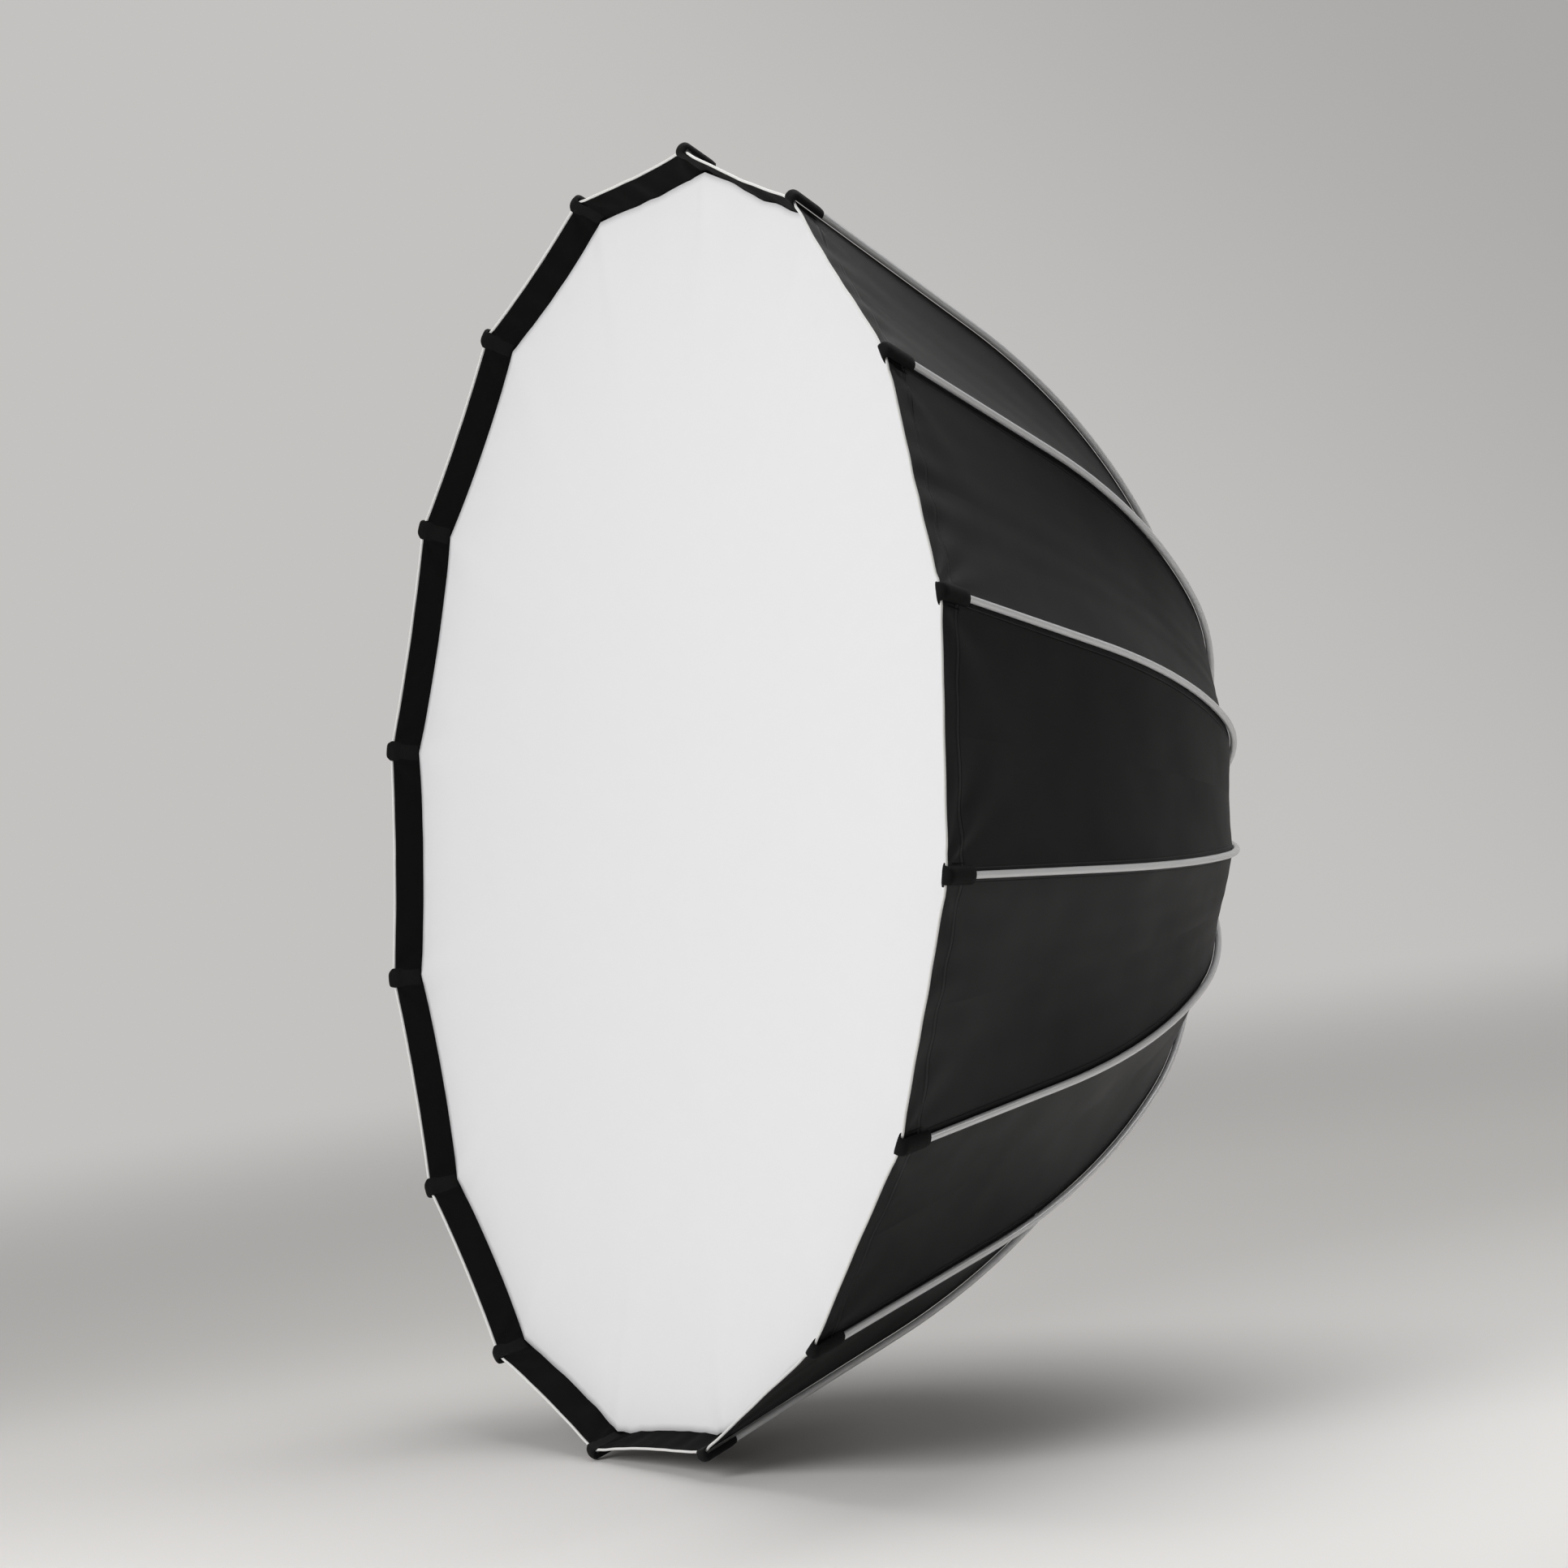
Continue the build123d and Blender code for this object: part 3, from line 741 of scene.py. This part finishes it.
class SOFTBOX_OT_canopy(bpy.types.Operator):
    """Builds the canopy cloth as strips that ride on the ribs, and its collar on the hub"""

    bl_idname = "softbox.canopy"
    bl_label = "Canopy"

    def execute(self, context):
        colours = context.scene.softbox_colours
        cloth = canopy_material(colours)
        lining = plain_cloth("silver_lining_cloth", colours.lining, 0.35, 0.0002, 0.5, 0.6)
        thickness = sizes().cloth
        edges = [along_at_radius(r) for r in BAND_RADII[:-1]] + [0.0]
        hub_end = along_at_radius(CLOTH_HUB_RADIUS)
        replaced = False
        for rib in range(RIBS):
            number = f"{rib + 1:02d}"
            first = strip_band(
                rib, f"canopy_{number}_hub", edges[0], hub_end, ROW_STEP_HUB, thickness, 0.0, (cloth, lining)
            )
            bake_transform(first)
            declare_strip(rib, edges[0], hub_end)
            for band in range(len(BAND_RADII) - 1):
                s_high, s_low = edges[band], edges[band + 1]
                keep = folded_share(BAND_RADII[band + 1])
                step = ROW_STEP_RIM if s_low == 0.0 else ROW_STEP
                strip = strip_band(
                    rib, f"canopy_{number}_{band + 1}", s_low, s_high, step, thickness, 0.0, (cloth, lining)
                )
                squash_with(strip, rib, keep)
                declare_strip(rib, s_low, s_high)
                if not replaced:
                    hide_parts("canopy")
                    replaced = True
        self.collar(cloth, thickness)
        return {"FINISHED"}

    def collar(self, cloth, thickness):
        """The flat cloth ring that the clamp ring presses on the hub."""
        ring = new_grid("canopy_collar", COLLAR_COLUMNS, 2)

        def place(a, b):
            angle = 2 * math.pi * a
            radius = COLLAR_INNER + (COLLAR_OUTER - COLLAR_INNER) * b
            return Vector((radius * math.cos(angle), COLLAR_Y, radius * math.sin(angle)))

        girth = 0.52
        lay(ring, place, lambda a, b: (a * girth, 0.5 + b * (COLLAR_OUTER - COLLAR_INNER)))
        close_seam(ring)
        face_outward(ring, Vector((0, 1, 0)))
        finish_mesh(ring, cloth)
        thicken(ring, thickness)
        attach(ring, "hub")


def close_seam(obj):
    """Joins the points that meet where a piece closes on itself."""
    make_active(obj)
    bpy.ops.object.mode_set(mode="EDIT")
    bpy.ops.mesh.select_all(action="SELECT")
    bpy.ops.mesh.remove_doubles(threshold=0.00002)
    bpy.ops.object.mode_set(mode="OBJECT")


class SOFTBOX_OT_lip(bpy.types.Operator):
    """Builds the black band inside the rim"""

    bl_idname = "softbox.lip"
    bl_label = "Lip band"

    def execute(self, context):
        colours = context.scene.softbox_colours
        size = sizes()
        cloth = plain_cloth("black_lip_cloth", colours.lip, 0.85, 0.0002, 0.08)
        under = size.cloth + LIP_GAP
        for rib in range(RIBS):
            band = strip_band(
                rib, f"lip_band_{rib + 1:02d}", 0.0, size.lip, ROW_STEP_RIM, size.lip_cloth, under, (cloth,)
            )
            squash_with(band, rib, folded_share(TIP_RADIUS))
            declare_strip(rib, 0.0, size.lip, under)
            if rib == 0:
                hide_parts("lip_band")
        return {"FINISHED"}


class SOFTBOX_OT_piping(bpy.types.Operator):
    """Builds the thin piping sewn along the rim edge"""

    bl_idname = "softbox.piping"
    bl_label = "Rim piping"

    def execute(self, context):
        colours = context.scene.softbox_colours
        size = sizes()
        cloth = plain_cloth("light_piping_cloth", colours.piping, 0.6, 0.0001, 0.3)
        stand = -(size.piping + PIPING_GAP)
        for rib in range(RIBS):
            tube = new_grid(f"rim_piping_{rib + 1:02d}", PIPING_SIDES, PIPING_ROWS)

            def place(a, b, rib=rib):
                gore, psi = rib_side(rib, 2 * b - 1)
                centre = cloth_point(gore, psi, stand, size.cloth / 2)
                spin = 2 * math.pi * a
                r_dir = Vector((centre.x, 0, centre.z)).normalized()
                return centre + size.piping * (r_dir * math.cos(spin) + Vector((0, math.sin(spin), 0)))

            lay(tube, place, lambda a, b: (a * 0.016, b * 0.3))
            close_seam(tube)
            cap_ends(tube)
            finish_mesh(tube, cloth)
            bpy.ops.object.shade_smooth_by_angle(angle=math.radians(50))
            squash_with(tube, rib, folded_share(TIP_RADIUS))
            if rib == 0:
                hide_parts("rim_piping")
        return {"FINISHED"}


def cap_ends(obj):
    """Closes the open ends of a tube and turns all faces outward."""
    make_active(obj)
    bpy.ops.object.mode_set(mode="EDIT")
    bpy.ops.mesh.select_mode(type="EDGE")
    bpy.ops.mesh.select_all(action="DESELECT")
    bpy.ops.mesh.select_non_manifold()
    bpy.ops.mesh.edge_face_add()
    bpy.ops.mesh.select_all(action="SELECT")
    bpy.ops.mesh.normals_make_consistent(inside=False)
    bpy.ops.mesh.select_mode(type="VERT")
    bpy.ops.object.mode_set(mode="OBJECT")


class SOFTBOX_OT_pockets(bpy.types.Operator):
    """Builds the webbing pocket over each rod tip"""

    bl_idname = "softbox.pockets"
    bl_label = "Tip pockets"

    def execute(self, context):
        colours = context.scene.softbox_colours
        size = sizes()
        webbing = webbing_material(colours)
        outer_leg = size.pocket_length
        inner_leg = size.diffuser_corner - 0.001
        top = ROD_RADIUS + STRAP_OVER_ROD + size.webbing
        low = -(ROD_RADIUS + CLOTH_OVER_ROD) + size.webbing + STRAP_OVER_CLOTH
        front = size.pocket_beyond
        lengths = (outer_leg, STRAP_OVER_TIP, inner_leg)
        whole = sum(lengths)

        def sleeve(a, s):
            """Lateral place and height of the webbing wrapped over the rod."""
            across = math.radians(178) * (a - 0.5)
            lateral = size.sleeve_width / 2 * math.sin(across)
            mouth = 1 - 0.12 * smooth(s, outer_leg - 0.006, outer_leg)
            return lateral, low + (top * mouth - low) * math.cos(across) ** 0.8

        for rib in range(RIBS):
            strap = new_grid(f"tip_pocket_webbing_{rib + 1:02d}", STRAP_COLUMNS, STRAP_ROWS)

            def place(a, b, rib=rib):
                run = b * whole
                flat = (a - 0.5) * size.pocket_width
                if run < lengths[0]:
                    s = outer_leg - run
                    lateral, height = sleeve(a, s)
                    return rib_place(rib, s, height, lateral)
                if run < lengths[0] + lengths[1]:
                    turn = math.pi * (run - lengths[0]) / lengths[1]
                    lateral, height = sleeve(a, 0.0)
                    lateral += (flat - lateral) * smooth(turn, 1.2, math.pi)
                    middle = (height + STRAP_UNDER_PIPING) / 2
                    tall = (height - STRAP_UNDER_PIPING) / 2
                    round_end = 1 - 0.5 * abs(2 * a - 1) ** 3
                    ahead = front * round_end * abs(math.sin(turn)) ** 0.7
                    level = math.copysign(abs(math.cos(turn)) ** 0.9, math.cos(turn))
                    return rib_place(rib, -ahead, middle + tall * level, lateral)
                s = run - lengths[0] - lengths[1]
                level = STRAP_UNDER_PIPING + (STRAP_INSIDE - STRAP_UNDER_PIPING) * smooth(s, 0.002, 0.012)
                return rib_place(rib, s, level, flat)

            lay(strap, place, lambda a, b: ((a - 0.5) * size.pocket_width, b * whole))
            angle = rib_angle(rib)
            strap.data.update()
            on_rod = rib_place(rib, 0.02, top, 0)
            lead = min(strap.data.polygons, key=lambda f: (f.center - on_rod).length)
            if lead.normal.dot(Vector((math.cos(angle), 0.4, math.sin(angle)))) < 0:
                strap.data.flip_normals()
            finish_mesh(strap, webbing)
            thicken(strap, size.webbing)
            bpy.ops.object.shade_smooth_by_angle(angle=math.radians(50))
            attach(strap, f"rib_{rib + 1:02d}")
            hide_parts(f"tip_pocket_{rib + 1:02d}")
            strap.data.update()
        return {"FINISHED"}


class SOFTBOX_OT_diffuser(bpy.types.Operator):
    """Builds the white front diffuser, pulled out at its corners"""

    bl_idname = "softbox.diffuser"
    bl_label = "Front diffuser"

    def execute(self, context):
        colours = context.scene.softbox_colours
        size = sizes()
        cloth = diffuser_material(colours)
        rng = random.Random(77)
        waves = [(rng.randint(3, 11), rng.uniform(0, 6.28), rng.uniform(0.3, 1)) for _ in range(5)]
        fans = [(rng.uniform(0.4, 1.0), rng.uniform(-0.2, 0.2)) for _ in range(RIBS)]
        inset = size.cloth + size.lip_cloth + DIFFUSER_GAP

        def border(angle):
            """A point of the diffuser's edge at an angle about the axis."""
            turned = (angle - HALF) % (2 * math.pi)
            gore = int(turned // PITCH) % RIBS
            psi = turned - gore * PITCH - HALF
            t = psi / HALF
            back = size.diffuser_middle + (size.diffuser_corner - size.diffuser_middle) * abs(t) ** 2.5
            by_strap = smooth(abs(t), 0.86, 0.93) * DIFFUSER_UNDER_STRAP
            return cloth_point(gore, psi, back, inset + by_strap)

        def folds(share, angle):
            """Soft folds: a fan from each corner, and slow waves over the whole cloth."""
            height = 0.0
            for rib in range(RIBS):
                strength, lean = fans[rib]
                turn = (angle - rib_angle(rib) + math.pi) % (2 * math.pi) - math.pi
                across = turn * share * TIP_RADIUS
                inward = (1 - share) * TIP_RADIUS
                width = 0.010 + 0.22 * inward
                fade = math.exp(-inward / 0.16) * smooth(share, 0.35, 0.8)
                crest = math.exp(-((across - lean * inward) / width) ** 2)
                height += strength * crest * fade
            slow = 0.0
            for count, phase, part in waves:
                slow += part * math.cos(count * angle + phase) * share**2 * (1 - share) * 1.6
            return size.diffuser_fold * (height + 0.5 * slow)

        centre_y = RIM_Y + size.diffuser_middle * math.sin(TIP_SLOPE) + DIFFUSER_DOME
        disc = new_grid("front_diffuser_cloth", DIFFUSER_COLUMNS, DIFFUSER_ROWS)

        def place(a, b):
            angle = 2 * math.pi * a
            edge = border(angle)
            share = b**0.85
            y = centre_y + (edge.y - centre_y) * share**3
            lift = folds(share, angle) * (1 - smooth(share, 0.985, 1.0))
            return Vector((edge.x * share, y - lift, edge.z * share))

        def measure(a, b):
            angle = 2 * math.pi * a
            share = b**0.85
            return (share * TIP_RADIUS * math.cos(angle), share * TIP_RADIUS * math.sin(angle))

        lay(disc, place, measure)
        close_seam(disc)
        face_outward(disc, Vector((0, -1, 0)))
        finish_mesh(disc, cloth)
        thicken(disc, size.diffuser_cloth)
        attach(disc, "front_diffuser")
        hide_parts("front_diffuser")
        disc.data.update()
        return {"FINISHED"}


class SOFTBOX_OT_stage(bpy.types.Operator):
    """Builds the floor, the soft lights and the camera"""

    bl_idname = "softbox.stage"
    bl_label = "Stage"

    def execute(self, context):
        colours = context.scene.softbox_colours
        scene = context.scene
        scene.view_settings.view_transform = "Standard"
        self.floor(colours)
        self.world(scene, colours)
        self.lights()
        self.camera(scene)
        return {"FINISHED"}

    def floor(self, colours):
        """A pale floor disc that touches the lowest tip, is painted darker towards the backdrop as painted
        shade, and fades out into the backdrop.
        """
        normal = Vector(FLOOR_NORMAL).normalized()
        lowest = min(
            (o.matrix_world @ v.co).dot(normal)
            for o in bpy.data.objects
            if o.type == "MESH" and not o.hide_render
            for v in o.data.vertices
        )
        deselect()
        bpy.ops.mesh.primitive_circle_add(vertices=128, radius=FLOOR_RADIUS, fill_type="NGON")
        disc = bpy.context.object
        disc.name = "stage_floor"
        under = Matrix.Translation(normal * (lowest - FLOOR_GAP))
        disc.matrix_world = under @ normal.to_track_quat("Z", "Y").to_matrix().to_4x4()
        bpy.ops.object.transform_apply(location=True, rotation=True, scale=True)
        made, tree, shader = new_material("studio_floor", colours.floor, 0.9, specular=0.1)
        place = add(tree, "ShaderNodeTexCoord").outputs["Object"]
        # Painted shade: the floor's colour turns from the pale front one to the darker far one with distance
        # towards the backdrop
        depth = add(tree, "ShaderNodeVectorMath", {0: place, 1: FLOOR_AHEAD}, operation="DOT_PRODUCT")
        inputs = {"Value": depth.outputs["Value"], "From Min": FLOOR_NEAR, "From Max": FLOOR_FAR}
        turn = add(tree, "ShaderNodeMapRange", inputs, interpolation_type="SMOOTHSTEP").outputs["Result"]
        tone = add(tree, "ShaderNodeValToRGB", {"Fac": turn})
        tone.color_ramp.elements[0].color = linear(colours.floor)
        tone.color_ramp.elements[1].color = linear(colours.floor_far_painted_shade)
        tree.links.new(tone.outputs["Color"], shader.inputs["Base Color"])
        away = add(tree, "ShaderNodeVectorMath", {0: place}, operation="LENGTH").outputs["Value"]
        fade = add(
            tree,
            "ShaderNodeMapRange",
            {"Value": away, "From Min": FADE_START, "From Max": FADE_END},
            interpolation_type="SMOOTHSTEP",
        ).outputs["Result"]
        clear = add(tree, "ShaderNodeBsdfTransparent").outputs[0]
        mix = add(tree, "ShaderNodeMixShader", {0: fade, 1: shader.outputs[0], 2: clear})
        tree.links.new(mix.outputs[0], tree.nodes["Material Output"].inputs["Surface"])
        disc.data.materials.append(made)

    def world(self, scene, colours):
        """A studio that is pale where the backdrop hangs and dimmer on the other sides."""
        world = bpy.data.worlds.new("studio_backdrop")
        world.use_nodes = True
        tree = world.node_tree
        back = tree.nodes["Background"]
        back.inputs["Color"].default_value = linear(colours.backdrop)
        place = add(tree, "ShaderNodeTexCoord").outputs["Generated"]
        ahead = add(tree, "ShaderNodeVectorMath", {0: place, 1: BACKDROP_SIDE}, operation="DOT_PRODUCT")
        across = add(tree, "ShaderNodeVectorMath", {0: place, 1: BACKDROP_RIGHT}, operation="DOT_PRODUCT")
        shares = []
        for side, limits in ((ahead, BACKDROP_FADE), (across, CORNER_FADE)):
            inputs = dict(zip(("From Min", "From Max", "To Min", "To Max"), limits))
            inputs["Value"] = side.outputs["Value"]
            made = add(tree, "ShaderNodeMapRange", inputs, interpolation_type="SMOOTHSTEP")
            shares.append(made.outputs["Result"])
        strength = add(tree, "ShaderNodeMath", {0: shares[0], 1: shares[1]}, operation="MULTIPLY")
        tree.links.new(strength.outputs[0], back.inputs["Strength"])
        scene.world = world

    def lights(self):
        """Large soft lights: overhead, in front for the diffuser, and behind on the right."""
        plan = (
            ("light_overhead", (-0.3, 0.2, 3.4), 3.0, 106.0, (0.0, -0.3, 0.0)),
            ("light_front", (0.9, -5.0, 1.2), 3.0, 132.0, (0.0, -0.7, 0.0)),
            ("light_right_back", (2.2, 3.2, 3.0), 1.6, 30.0, (0.2, -0.3, 0.2)),
        )
        for name, place, size, power, aim in plan:
            data = bpy.data.lights.new(name, "AREA")
            data.shape = "SQUARE"
            data.size = size
            data.energy = power
            lamp = bpy.data.objects.new(name, data)
            bpy.context.collection.objects.link(lamp)
            lamp.location = place
            lamp.rotation_mode = "QUATERNION"
            lamp.rotation_quaternion = (Vector(aim) - Vector(place)).to_track_quat("-Z", "Y")

    def camera(self, scene):
        a, e, roll = (math.radians(x) for x in (CAMERA_AZIMUTH, CAMERA_ELEVATION, CAMERA_ROLL))
        back = Vector((math.sin(a) * math.cos(e), -math.cos(a) * math.cos(e), math.sin(e)))
        level = Vector((math.cos(a), math.sin(a), 0))
        upright = back.cross(level)
        right = level * math.cos(roll) + upright * math.sin(roll)
        up = upright * math.cos(roll) - level * math.sin(roll)
        data = bpy.data.cameras.new("camera")
        data.lens = CAMERA_LENS
        data.sensor_width = CAMERA_SENSOR
        data.clip_end = 60.0
        camera = bpy.data.objects.new("camera", data)
        bpy.context.collection.objects.link(camera)
        turn = Matrix((right, up, back)).transposed().to_4x4()
        camera.matrix_world = Matrix.Translation(Vector(CAMERA_PLACE)) @ turn
        scene.camera = camera


OPERATORS = (
    SOFTBOX_OT_frame_finishes,
    SOFTBOX_OT_canopy,
    SOFTBOX_OT_lip,
    SOFTBOX_OT_piping,
    SOFTBOX_OT_pockets,
    SOFTBOX_OT_diffuser,
    SOFTBOX_OT_stage,
)


class SOFTBOX_PT_panel(bpy.types.Panel):
    """Lists the steps that dress the softbox"""

    bl_label = "Softbox"
    bl_idname = "SOFTBOX_PT_panel"
    bl_space_type = "VIEW_3D"
    bl_region_type = "UI"
    bl_category = "Softbox"

    def draw(self, context):
        for step in OPERATORS:
            self.layout.operator(step.bl_idname)


CLASSES = (SoftboxSizes, SoftboxColours, *OPERATORS, SOFTBOX_PT_panel)


def register():
    for cls in CLASSES:
        bpy.utils.register_class(cls)
    bpy.types.Scene.softbox_sizes = bpy.props.PointerProperty(type=SoftboxSizes)
    bpy.types.Scene.softbox_colours = bpy.props.PointerProperty(type=SoftboxColours)


def unregister():
    del bpy.types.Scene.softbox_sizes
    del bpy.types.Scene.softbox_colours
    for cls in reversed(CLASSES):
        bpy.utils.unregister_class(cls)


def main():
    register()
    bpy.ops.softbox.frame_finishes()
    bpy.ops.softbox.canopy()
    bpy.ops.softbox.lip()
    bpy.ops.softbox.piping()
    bpy.ops.softbox.pockets()
    bpy.ops.softbox.diffuser()
    bpy.ops.softbox.stage()


if __name__ == "__main__":
    main()
